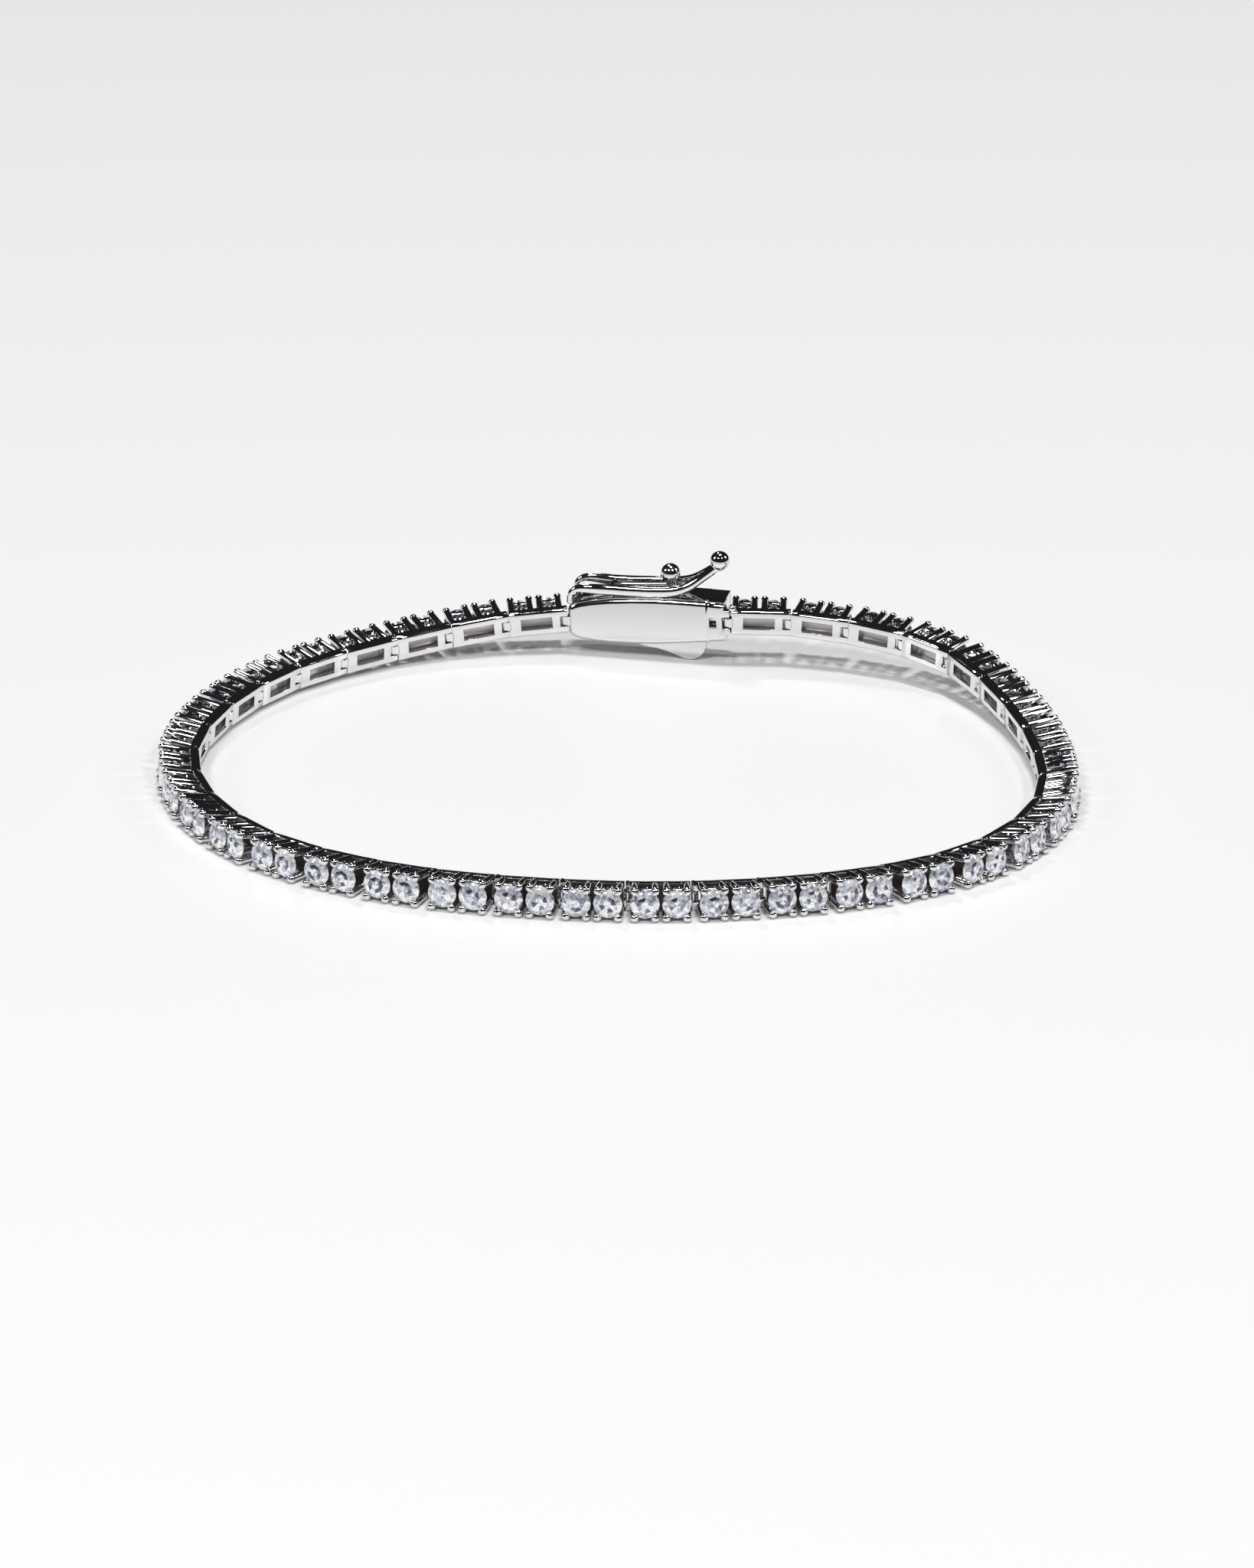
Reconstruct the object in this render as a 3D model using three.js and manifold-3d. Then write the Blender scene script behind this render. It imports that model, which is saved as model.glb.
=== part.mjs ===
// A tennis bracelet: a closed row of two-stone links, a box clasp and its safety lever.
// Millimetres, +Z up. The bracelet lies on its edge with its stones facing outwards,
// and the clasp stands at the back, raised by the tab that hangs below it.
import * as THREE from "three";
import { mergeVertices } from "three/addons/utils/BufferGeometryUtils.js";
import Module from "manifold-3d";

// Stones
const STONE_WIDTH = 2.0;
const STONE_SIDES = 8;
const TABLE_WIDTH = 1.16;
const CROWN_HEIGHT = 0.3;
const PAVILION_DEPTH = 0.86;
const STONES_PER_LINK = 2;
const STONE_GAP = 0.16;

// Settings: four prongs to a stone, splayed upwards and downwards from the back plate
const PRONG_WIDTH = 0.5;
const PRONG_FOOT_WIDTH = 0.46;
const PRONG_STAND_OFF = 0.22;
const PRONG_ANGLE = THREE.MathUtils.degToRad(54.9);
const PRONG_GRIP = 0.38;
const PRONG_SINK = 0.15;
const PRONG_FOOT_INSET = 0.03;
const FACE_DEPTH = 2.62;

// Links
const LINK_COUNT = 37;
const LINK_GAP = 0.15;
const PLATE_HEIGHT = 1.9;
const PLATE_THICKNESS = 0.8;
const WINDOW_LENGTH = 2.35;
const WINDOW_HEIGHT = 0.88;

// Hinges: a tongue of one link between the two ears of the next, on a pin
const PIN_WIDTH = 0.24;
const PIN_SIDES = 5;
const PIN_SINK = 0.15;
const PLAY = 0.09;
const TONGUE_RADIUS = 0.38;
const TONGUE_HEIGHT = 0.66;
const TONGUE_SIDES = 3;
const EAR_NOSE = 0.13;
const SEAM = 0.14;

// Clasp: a box, and the sprung tongue that slides into it
const CLASP_LENGTH = 12.4;
const BOX_HEIGHT = 3.7;
const BOX_END_HEIGHT = 3.0;
const BOX_BOW_STEPS = 6;
const BOX_THICKNESS = 3.25;
const BOX_WALL = 0.4;
const BACK_FACE_HEIGHT = 2.8;
const EDGE_BEVEL = 0.5;
const CORNER_BEVEL = 0.2;
const END_BLOCK_LENGTH = 1.3;
const END_BLOCK_STOP = 0.3;
const END_SLOT_LENGTH = 1.0;
const END_EAR_THICKNESS = 0.62;
const LEAF_THICKNESS = 0.35;
const LEAF_HEIGHT = 1.9;
const LEAF_START = 2.0;
const TAB_DROP = 3.1;
const CLASP_SLOPE = THREE.MathUtils.degToRad(3.4);

// The tab below the clasp: where along it, and how far down as a share of its drop
const TAB_LENGTH = 5.4;
const TAB_END_CLEARANCE = 0.15;
const TAB_OUTLINE = [
  { along: 0, down: 0.5 },
  { along: 0.3, down: 0.62 },
  { along: 0.55, down: 0.82 },
  { along: 0.72, down: 1 },
  { along: 0.83, down: 1 },
  { along: 0.94, down: 0.83 },
  { along: 1, down: 0.56 },
];
const TAB_FOOT_SHARE = 0.72;

// Safety lever: two arms of round wire on a rod through the lug, and a ball tip
const WIRE_WIDTH = 0.5;
const WIRE_SIDES = 5;
const WIRE_STEPS = 9;
const ROD_ALONG = 0.4;
const ROD_ABOVE = 0.25;
const LUG_WIDTH = 1.2;
const LUG_LENGTH = 0.9;
const BALL_WIDTH = 1.5;
const BALL_SIDES = 10;
const BALL_RINGS = 6;
const NECK_WIDTH = 0.6;
const STUD_ALONG = 7.9;
const STUD_HEIGHT = 1.65;
const CROSSBAR_ALONG = 3.4;
const LEVER_LENGTH = 11.3;
const LEVER_WIDTH = 2.5;
const LEVER_RISE = 2.8;
const CROSSBAR_WIDTH = 0.45;
const CROSSBAR_RISE = 0.88;
const TIP_BALL_RISE = 0.25;
// Columns: share of the lever's length, height as a share of its rise, share of its width
const LEVER_ARM = [
  { along: 0, up: 0, wide: 1 },
  { along: 0, up: 0.18, wide: 1 },
  { along: 0.045, up: 0.35, wide: 1 },
  { along: 0.15, up: 0.35, wide: 1 },
  { along: 0.45, up: 0.28, wide: 1 },
  { along: 0.72, up: 0.29, wide: 1 },
  { along: 0.86, up: 0.56, wide: 0.72 },
  { along: 1, up: 1, wide: 0.2 },
];

// The route of the closed row, seen from above and going clockwise from the clasp,
// and how much of the clasp's rise each point keeps
const ROUTE = [
  [10.2, 21.4, 1],
  [14.7, 21.2, 0.98],
  [19.0, 20.0, 0.9],
  [23.0, 18.1, 0.78],
  [26.4, 15.1, 0.62],
  [30.2, 7.1, 0.2],
  [31.9, -1.6, 0],
  [31.4, -10.5, 0],
  [27.2, -18.3, 0],
  [19.9, -23.4, 0],
  [6.9, -26.3, 0],
  [-6.4, -25.2, 0],
  [-14.9, -22.4, 0],
  [-22.2, -17.3, 0],
  [-26.9, -9.7, 0],
  [-28.5, -1.0, 0.04],
  [-26.5, 7.7, 0.08],
  [-21.8, 15.3, 0.14],
  [-14.7, 20.7, 0.28],
  [-10.6, 22.5, 0.5],
  [-6.3, 23.6, 0.79],
  [-1.9, 23.9, 1],
];

const STONE_PITCH = STONE_WIDTH + STONE_GAP;
const LINK_PITCH = STONES_PER_LINK * STONE_PITCH + LINK_GAP;
const PRONG_RADIUS = STONE_WIDTH / 2 + PRONG_STAND_OFF;
const PRONG_ALONG = PRONG_RADIUS * Math.cos(PRONG_ANGLE);
const PRONG_UP = PRONG_RADIUS * Math.sin(PRONG_ANGLE);
const BAND_HALF = PRONG_UP + PRONG_WIDTH / 2;
const PLATE_BACK = -TONGUE_RADIUS;
const PLATE_FRONT = PLATE_BACK + PLATE_THICKNESS;
const PLATE_START = EAR_NOSE + SEAM;
const SLOT_REACH = TONGUE_RADIUS + PLAY;
const SLOT_HALF = TONGUE_HEIGHT / 2 + PLAY;
// The plate widens towards the prongs, so a link lies with its outer side raised a little
const LEAN = Math.atan2(BAND_HALF - PLATE_HEIGHT / 2, FACE_DEPTH - PLATE_BACK);
const LIE = (PLATE_HEIGHT / 2) * Math.cos(LEAN) - PLATE_BACK * Math.sin(LEAN);

const wasm = await Module();
wasm.setup();

// A closed three.js geometry as a solid that can be joined and cut.
function solid(geometry) {
  const bare = geometry.clone();
  bare.deleteAttribute("normal");
  bare.deleteAttribute("uv");
  const merged = mergeVertices(bare, 1e-4);
  return new wasm.Manifold(
    new wasm.Mesh({
      numProp: 3,
      vertProperties: merged.attributes.position.array,
      triVerts: new Uint32Array(merged.index.array),
    }),
  );
}

// The solid's faces as a three.js geometry with flat shading normals.
function geometryOf(body) {
  const faces = body.getMesh();
  const indexed = new THREE.BufferGeometry();
  indexed.setAttribute("position", new THREE.BufferAttribute(faces.vertProperties, 3));
  indexed.setIndex(new THREE.BufferAttribute(faces.triVerts, 1));
  const flat = indexed.toNonIndexed();
  flat.computeVertexNormals();
  return flat;
}

function join(bodies) {
  return bodies.reduce((sum, body) => sum.add(body));
}

function cut(body, cutters) {
  return cutters.reduce((rest, cutter) => rest.subtract(cutter), body);
}

// A box between two corners.
function block([x0, y0, z0], [x1, y1, z1]) {
  const box = new THREE.BoxGeometry(x1 - x0, y1 - y0, z1 - z0);
  box.translate((x0 + x1) / 2, (y0 + y1) / 2, (z0 + z1) / 2);
  return solid(box);
}

function shapeOf(points, holes = []) {
  const shape = new THREE.Shape(points.map(([a, b]) => new THREE.Vector2(a, b)));
  for (const hole of holes) {
    shape.holes.push(new THREE.Path(hole.map(([a, b]) => new THREE.Vector2(a, b))));
  }
  return shape;
}

// A prism standing on an outline in x and y, from z0 to z1.
function prismUp(points, z0, z1, holes) {
  const prism = new THREE.ExtrudeGeometry(shapeOf(points, holes), {
    depth: z1 - z0,
    bevelEnabled: false,
  });
  prism.translate(0, 0, z0);
  return solid(prism);
}

// A prism on an outline in x and z, from y0 to y1.
function prismOut(points, y0, y1, holes) {
  const prism = new THREE.ExtrudeGeometry(shapeOf(points, holes), {
    depth: y1 - y0,
    bevelEnabled: false,
  });
  prism.rotateX(Math.PI / 2);
  prism.translate(0, y1, 0);
  return solid(prism);
}

// A prism on an outline in y and z, from x0 to x1.
function prismAlong(points, x0, x1) {
  const prism = new THREE.ExtrudeGeometry(shapeOf(points), {
    depth: x1 - x0,
    bevelEnabled: false,
  });
  prism.rotateY(Math.PI / 2);
  prism.rotateX(Math.PI / 2);
  prism.translate(x0, 0, 0);
  return solid(prism);
}

function regular(sides, radius) {
  return Array.from({ length: sides }, (_, i) => {
    const angle = (2 * Math.PI * i) / sides;
    return [radius * Math.cos(angle), radius * Math.sin(angle)];
  });
}

function rectangle(x0, x1, z0, z1) {
  return [[x0, z0], [x1, z0], [x1, z1], [x0, z1]];
}

// A brilliant: a table, one row of crown facets and one of pavilion facets.
function brilliant(x) {
  const girdle = FACE_DEPTH - PRONG_GRIP;
  const profile = [
    new THREE.Vector2(0, girdle - PAVILION_DEPTH),
    new THREE.Vector2(STONE_WIDTH / 2, girdle),
    new THREE.Vector2(TABLE_WIDTH / 2, girdle + CROWN_HEIGHT),
    new THREE.Vector2(0, girdle + CROWN_HEIGHT),
  ];
  const stone = new THREE.LatheGeometry(profile, STONE_SIDES);
  stone.rotateY(Math.PI / STONE_SIDES);
  stone.translate(x, 0, 0);
  return solid(stone);
}

// Half of a link's height at a distance outwards.
function halfAt(y) {
  return BAND_HALF - (FACE_DEPTH - y) * Math.tan(LEAN);
}

// A prong above the middle, for a side of 1, or below it, for a side of -1.
function prong(x, side) {
  const half = PRONG_WIDTH / 2;
  const foot = PLATE_FRONT - PRONG_SINK;
  const footTop = halfAt(foot) - PRONG_FOOT_INSET;
  const outline = [
    [foot, footTop - PRONG_FOOT_WIDTH], [FACE_DEPTH, BAND_HALF - PRONG_WIDTH],
    [FACE_DEPTH, BAND_HALF], [foot, footTop],
  ];
  return prismAlong(outline.map(([y, z]) => [y, side * z]), x - half, x + half);
}

// The tongue that reaches back round the pin of the link before.
function hingeTongue() {
  const root = PLATE_START + PLAY;
  const nose = Array.from({ length: TONGUE_SIDES + 1 }, (_, i) => {
    const angle = Math.PI / 2 + (Math.PI * i) / TONGUE_SIDES;
    return [TONGUE_RADIUS * Math.cos(angle), TONGUE_RADIUS * Math.sin(angle)];
  });
  const outline = [...nose, [root, -TONGUE_RADIUS], [root, PLATE_FRONT]];
  const hole = regular(PIN_SIDES, (PIN_WIDTH / 2 + PLAY) / Math.cos(Math.PI / PIN_SIDES));
  return prismUp(outline, -TONGUE_HEIGHT / 2, TONGUE_HEIGHT / 2, [hole]);
}

function hingePin(x) {
  const half = SLOT_HALF + PIN_SINK;
  const outline = regular(PIN_SIDES, PIN_WIDTH / 2).map(([a, b]) => [a + x, b]);
  return prismUp(outline, -half, half);
}

// The pierced back plate, with two ears round a slot at its far end.
function backPlate() {
  const half = BAND_HALF;
  const end = LINK_PITCH + EAR_NOSE;
  const slot = LINK_PITCH - SLOT_REACH;
  const middle = LINK_PITCH / 2;
  const outline = [
    [PLATE_START, -half], [end, -half], [end, -SLOT_HALF], [slot, -SLOT_HALF],
    [slot, SLOT_HALF], [end, SLOT_HALF], [end, half], [PLATE_START, half],
  ];
  const window = rectangle(
    middle - WINDOW_LENGTH / 2, middle + WINDOW_LENGTH / 2,
    -WINDOW_HEIGHT / 2, WINDOW_HEIGHT / 2,
  );
  const section = [
    [PLATE_BACK, -halfAt(PLATE_BACK)], [FACE_DEPTH, -BAND_HALF],
    [FACE_DEPTH, BAND_HALF], [PLATE_BACK, halfAt(PLATE_BACK)],
  ];
  const plate = prismOut(outline, PLATE_BACK, PLATE_FRONT, [window]);
  return plate.intersect(prismAlong(section, 0, 2 * LINK_PITCH));
}

function linkSolid() {
  const pieces = [backPlate(), hingeTongue(), hingePin(LINK_PITCH)];
  for (let i = 0; i < STONES_PER_LINK; i += 1) {
    const x = LINK_PITCH / 2 + (i - (STONES_PER_LINK - 1) / 2) * STONE_PITCH;
    pieces.push(brilliant(x));
    for (const side of [-1, 1]) {
      pieces.push(prong(x - PRONG_ALONG, side), prong(x + PRONG_ALONG, side));
    }
  }
  return join(pieces);
}

// Clasp, in a frame whose x runs from its left hinge to its right one

const BOX_BACK = PLATE_BACK;
const BOX_FRONT = BOX_BACK + BOX_THICKNESS;
const BOX_MIDDLE = (BOX_BACK + BOX_FRONT) / 2;
const BOX_TOP = BOX_HEIGHT / 2;
const BLOCK_END = CLASP_LENGTH - END_BLOCK_STOP;
const BLOCK_START = BLOCK_END - END_BLOCK_LENGTH;
const BOX_END = BLOCK_START - PLAY;
const ROD = [ROD_ALONG, BAND_HALF + ROD_ABOVE];
const TAB_END = BOX_END - TAB_END_CLEARANCE;
const TAB_START = TAB_END - TAB_LENGTH;
const FOOT_ALONG = TAB_START + TAB_FOOT_SHARE * TAB_LENGTH;

// The whole clasp's outer form: a low barrel from the side, bevelled towards the wrist.
function claspForm() {
  const centre = (PLATE_START + BLOCK_END) / 2;
  const reach = (BLOCK_END - PLATE_START) / 2;
  const bow = (BOX_HEIGHT - BOX_END_HEIGHT) / 2;
  const top = Array.from({ length: BOX_BOW_STEPS + 1 }, (_, i) => {
    const share = 1 - (2 * i) / BOX_BOW_STEPS;
    return [centre + reach * share, BOX_TOP - bow * share * share];
  });
  const bottom = top.map(([x, z]) => [x, -z]).reverse();
  const half = BOX_TOP + PLAY;
  const section = [
    [BOX_BACK, -BACK_FACE_HEIGHT / 2], [BOX_BACK + EDGE_BEVEL, -BOX_TOP],
    [BOX_FRONT - CORNER_BEVEL, -half], [BOX_FRONT, -half + CORNER_BEVEL],
    [BOX_FRONT, half - CORNER_BEVEL], [BOX_FRONT - CORNER_BEVEL, half],
    [BOX_BACK + EDGE_BEVEL, BOX_TOP], [BOX_BACK, BACK_FACE_HEIGHT / 2],
  ];
  const side = prismOut([...top, ...bottom], BOX_BACK, BOX_FRONT);
  return side.intersect(prismAlong(section, PLATE_START, BLOCK_END));
}

function ball(x, y, z) {
  const sphere = new THREE.SphereGeometry(BALL_WIDTH / 2, BALL_SIDES, BALL_RINGS);
  sphere.rotateX(Math.PI / 2);
  sphere.translate(x, y, z);
  return solid(sphere);
}

// A straight round bar along y.
function crossRod(x, z, width, y0, y1) {
  return prismOut(regular(WIRE_SIDES, width / 2).map(([a, b]) => [x + a, z + b]), y0, y1);
}

function stud() {
  const top = BOX_TOP + STUD_HEIGHT;
  const outline = regular(WIRE_SIDES, NECK_WIDTH / 2);
  const neck = outline.map(([a, b]) => [STUD_ALONG + a, BOX_MIDDLE + b]);
  return join([
    prismUp(neck, BOX_TOP - BOX_WALL / 2, top),
    ball(STUD_ALONG, BOX_MIDDLE, top),
  ]);
}

function claspBoxSolid() {
  const far = CLASP_LENGTH;
  const out = BOX_THICKNESS;
  const cornerTop = BAND_HALF - PLAY;
  const cornerEnd = ROD_ALONG + LUG_LENGTH - WIRE_WIDTH / 2;
  const corner = block([-far, -far, cornerTop], [cornerEnd, far, far]);
  const lugHalf = LUG_WIDTH / 2;
  const lug = block(
    [ROD_ALONG - LUG_LENGTH / 2, BOX_MIDDLE - lugHalf, cornerTop - BOX_WALL],
    [cornerEnd + BOX_WALL, BOX_MIDDLE + lugHalf, ROD[1] + LUG_LENGTH / 2],
  );
  const eye = crossRod(ROD[0], ROD[1], WIRE_WIDTH + 2 * PLAY, -out, 2 * out);
  const end = block([BOX_END, -far, -far], [2 * far, far, far]);
  const hollow = block(
    [PLATE_START + 2 * BOX_WALL, BOX_BACK + BOX_WALL, -BOX_END_HEIGHT / 2 + BOX_WALL],
    [far, BOX_FRONT - BOX_WALL, BOX_END_HEIGHT / 2 - BOX_WALL],
  );
  const tabSlot = block(
    [TAB_START - PLAY, BOX_BACK + BOX_WALL, -far],
    [far, BOX_BACK + BOX_WALL + LEAF_THICKNESS + 2 * PLAY, 0],
  );
  const lugRoom = block([-far, -far, -far], [PLATE_START, far, cornerTop + PLAY]);
  const body = cut(claspForm(), [corner, end]);
  const bare = join([body, lug.subtract(lugRoom), hingeTongue()]);
  return join([cut(bare, [eye, hollow, tabSlot]), stud()]);
}

function claspTongueSolid() {
  const far = CLASP_LENGTH;
  const leafHalf = LEAF_HEIGHT / 2;
  const inner = BOX_BACK + BOX_WALL + PLAY;
  const outer = BOX_FRONT - BOX_WALL - PLAY;
  const rest = block([-far, -far, -far], [BLOCK_START, far, far]);
  const slot = block(
    [CLASP_LENGTH - SLOT_REACH - END_SLOT_LENGTH, -far, -SLOT_HALF],
    [2 * far, SLOT_REACH, SLOT_HALF],
  );
  const endBlock = claspForm().subtract(rest);
  const ears = block(
    [BLOCK_START, PLATE_BACK, -PLATE_HEIGHT / 2],
    [CLASP_LENGTH + EAR_NOSE, PLATE_BACK + END_EAR_THICKNESS, PLATE_HEIGHT / 2],
  );
  const leaves = prismUp(
    [
      [LEAF_START, inner], [TAB_END, inner], [TAB_END, inner + LEAF_THICKNESS],
      [LEAF_START + LEAF_THICKNESS, inner + LEAF_THICKNESS],
      [LEAF_START + LEAF_THICKNESS, outer - LEAF_THICKNESS],
      [BLOCK_START + PLAY, outer - LEAF_THICKNESS], [BLOCK_START + PLAY, outer],
      [LEAF_START, outer],
    ],
    -leafHalf, leafHalf,
  );
  const tabTop = PLAY - leafHalf;
  const tab = prismOut(
    [
      [TAB_END, tabTop], [TAB_START, tabTop],
      ...TAB_OUTLINE.map(({ along, down }) => [
        TAB_START + along * TAB_LENGTH, tabTop - down * (TAB_DROP + tabTop),
      ]),
    ],
    inner, inner + LEAF_THICKNESS,
  );
  const fork = cut(join([endBlock, ears]), [slot]);
  return join([fork, hingePin(CLASP_LENGTH), leaves, tab]);
}

// One arm of the lever, on the side given by its sign.
function leverArm(side) {
  const points = LEVER_ARM.map(({ along, up, wide }) => new THREE.Vector3(
    ROD[0] + along * LEVER_LENGTH,
    BOX_MIDDLE + (side * wide * LEVER_WIDTH) / 2,
    ROD[1] + up * LEVER_RISE,
  ));
  const path = new THREE.CatmullRomCurve3(points, false, "centripetal");
  const section = shapeOf(regular(WIRE_SIDES, WIRE_WIDTH / 2));
  const arm = new THREE.ExtrudeGeometry(section, { steps: WIRE_STEPS, extrudePath: path });
  return solid(arm);
}

function leverSolid() {
  const half = LEVER_WIDTH / 2;
  const tip = ROD[0] + LEVER_LENGTH;
  const tipTop = ROD[1] + LEVER_RISE + TIP_BALL_RISE;
  const barTop = ROD[1] + CROSSBAR_RISE;
  return join([
    leverArm(-1),
    leverArm(1),
    crossRod(ROD[0], ROD[1], WIRE_WIDTH, BOX_MIDDLE - half, BOX_MIDDLE + half),
    crossRod(CROSSBAR_ALONG, barTop, CROSSBAR_WIDTH, BOX_MIDDLE - half, BOX_MIDDLE + half),
    ball(tip, BOX_MIDDLE, tipTop),
  ]);
}

// Placing: the route is scaled until the links and the clasp close it exactly

const RISE_AT_FOOT = TAB_DROP - LIE;
const RIGHT_RISE = RISE_AT_FOOT + Math.tan(CLASP_SLOPE) * (CLASP_LENGTH - FOOT_ALONG);
const LEFT_RISE = RISE_AT_FOOT - Math.tan(CLASP_SLOPE) * FOOT_ALONG;

function routeCurve(scale) {
  const points = ROUTE.map(([x, y, share]) => new THREE.Vector3(
    x * scale, y * scale, share * (x > 0 ? RIGHT_RISE : LEFT_RISE),
  ));
  return new THREE.CatmullRomCurve3(points, true, "centripetal");
}

// A place on the curve, never lower than the links that lie flat.
function hingeAt(curve, at) {
  const point = curve.getPoint(at % 1);
  point.z = Math.max(point.z, 0);
  return point;
}

// The next place on the curve that lies one link away from the last.
function stepAlong(curve, from, at) {
  let low = at;
  let high = at + 0.06;
  for (let i = 0; i < 40; i += 1) {
    const middle = (low + high) / 2;
    if (hingeAt(curve, middle).distanceTo(from) < LINK_PITCH) low = middle;
    else high = middle;
  }
  return (low + high) / 2;
}

function walk(scale) {
  const curve = routeCurve(scale);
  const hinges = [curve.getPoint(0)];
  let at = 0;
  for (let i = 0; i < LINK_COUNT; i += 1) {
    at = stepAlong(curve, hinges[i], at);
    hinges.push(hingeAt(curve, at));
  }
  const open = hinges[LINK_COUNT].distanceTo(hinges[0]) * (at < 1 ? 1 : -1);
  return { hinges, open };
}

function closedHinges() {
  let low = 0.3;
  let high = 3;
  for (let i = 0; i < 50; i += 1) {
    const middle = (low + high) / 2;
    if (walk(middle).open < CLASP_LENGTH) low = middle;
    else high = middle;
  }
  return walk((low + high) / 2).hinges;
}

// How far a link leans on the surface, which is less the higher its hinges are held.
function leanOf(from, to) {
  const raised = (from.z + to.z) / 2 / RISE_AT_FOOT;
  return LEAN * THREE.MathUtils.clamp(1 - raised, 0, 1);
}

// Sets a mesh so that its x runs from one hinge to the next and its outer side is raised.
function place(mesh, from, to, lean) {
  const along = to.clone().sub(from).normalize();
  const level = new THREE.Vector3(0, 0, 1).cross(along).normalize();
  const out = level.applyAxisAngle(along, lean);
  const up = along.clone().cross(out);
  mesh.quaternion.setFromRotationMatrix(new THREE.Matrix4().makeBasis(along, out, up));
  mesh.position.copy(from);
}

const rhodium = new THREE.MeshStandardMaterial({
  color: 0xdcdee0, metalness: 1, roughness: 0.12,
});
const pavedMetal = new THREE.MeshStandardMaterial({
  color: 0xe6e9ee, metalness: 0.85, roughness: 0.08,
});

const hinges = closedHinges();
const row = new THREE.Group();
const linkGeometry = geometryOf(linkSolid());
for (let i = 0; i < LINK_COUNT; i += 1) {
  const link = new THREE.Mesh(linkGeometry, pavedMetal);
  link.name = `link_${String(i + 1).padStart(2, "0")}`;
  place(link, hinges[i], hinges[i + 1], leanOf(hinges[i], hinges[i + 1]));
  row.add(link);
}

const clasp = new THREE.Group();
place(clasp, hinges[LINK_COUNT], hinges[0], 0);
const claspPieces = {
  clasp_box: claspBoxSolid(),
  clasp_tongue: claspTongueSolid(),
  safety_lever: leverSolid(),
};
for (const [name, body] of Object.entries(claspPieces)) {
  const mesh = new THREE.Mesh(geometryOf(body), rhodium);
  mesh.name = name;
  clasp.add(mesh);
}

// The origin is the middle of the bracelet's box, at the level it rests on.
const bracelet = new THREE.Group();
bracelet.add(row, clasp);
bracelet.updateMatrixWorld(true);
const bounds = new THREE.Box3().setFromObject(bracelet, true);
const middle = bounds.getCenter(new THREE.Vector3());
for (const group of [row, clasp]) {
  group.position.x -= middle.x;
  group.position.y -= middle.y;
  group.position.z -= bounds.min.z;
}

export default bracelet;
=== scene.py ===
"""The looks of a tennis bracelet: its two-stone links, box clasp and safety lever."""

import logging
import math
import random
from collections.abc import Callable
from dataclasses import dataclass, field
from enum import Enum

import bmesh
import bpy
from mathutils import Matrix, Vector


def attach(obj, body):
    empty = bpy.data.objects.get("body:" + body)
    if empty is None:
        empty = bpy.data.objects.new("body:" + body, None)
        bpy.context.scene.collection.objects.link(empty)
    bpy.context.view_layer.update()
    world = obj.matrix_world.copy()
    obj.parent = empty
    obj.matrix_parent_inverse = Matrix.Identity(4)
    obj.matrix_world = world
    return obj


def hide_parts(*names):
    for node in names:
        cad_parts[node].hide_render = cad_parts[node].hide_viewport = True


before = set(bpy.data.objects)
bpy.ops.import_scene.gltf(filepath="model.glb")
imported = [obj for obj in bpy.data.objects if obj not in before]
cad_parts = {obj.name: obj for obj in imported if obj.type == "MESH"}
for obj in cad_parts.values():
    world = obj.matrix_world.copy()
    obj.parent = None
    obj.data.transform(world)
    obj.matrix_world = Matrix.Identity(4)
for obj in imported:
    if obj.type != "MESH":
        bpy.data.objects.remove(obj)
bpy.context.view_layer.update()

LOG = logging.getLogger("bracelet")
MM = 0.001
FACET = "facet"
UP = Vector((0.0, 0.0, 1.0))
TURN_TO_OUT = Matrix.Rotation(-math.pi / 2, 4, "X")

# Millimetres that the link, the clasp and the lever share.
LINK_PITCH = 4.47
CLASP_LENGTH = 12.4
HINGE_BACK = -0.38
HINGE_RADIUS = 0.38
HINGE_HALF = 0.33
HINGE_EASE = 0.05
PIN_RADIUS = 0.12
ROD_ALONG = 0.4
ROD_UP = 1.49815

# How near two points are the same, and how near a face counts as on it.
SAME_POINT = 1e-4
ON_FACE = 0.01
# Least angle in degrees of an edge that is a corner.
CORNER = 60.0
SHARP = math.radians(38)

# The part of its range that a noise fills.
NOISE_LOW, NOISE_HIGH = 0.3, 0.7
# How far a facet's painted light strays at random, how far all of it is darkened, and its limits.
FACET_SPREAD = 0.3
FACET_SHIFT = 0.2
FACET_LOW, FACET_HIGH = -0.2, 0.72

# Halvings that find one link's end, and those that find the loop's size.
LINK_HALVINGS = 40
LOOP_HALVINGS = 50

Profile = list[tuple[float, float]]
EdgeTest = Callable[[Vector, Vector], bool]


class Slot(Enum):
    """The finish that a face takes, by its place in the piece's material list."""

    METAL = 0
    STONE = 1
    # The sheet seen through the window, its colour darkened as painted shade.
    RECESS_SHADE = 2
    # The dark sheet between the stones, whose colour is painted shade.
    GAP_SHADE = 3


class Body(Enum):
    """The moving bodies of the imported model."""

    ROW = "row"
    LEVER = "lever"


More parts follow.
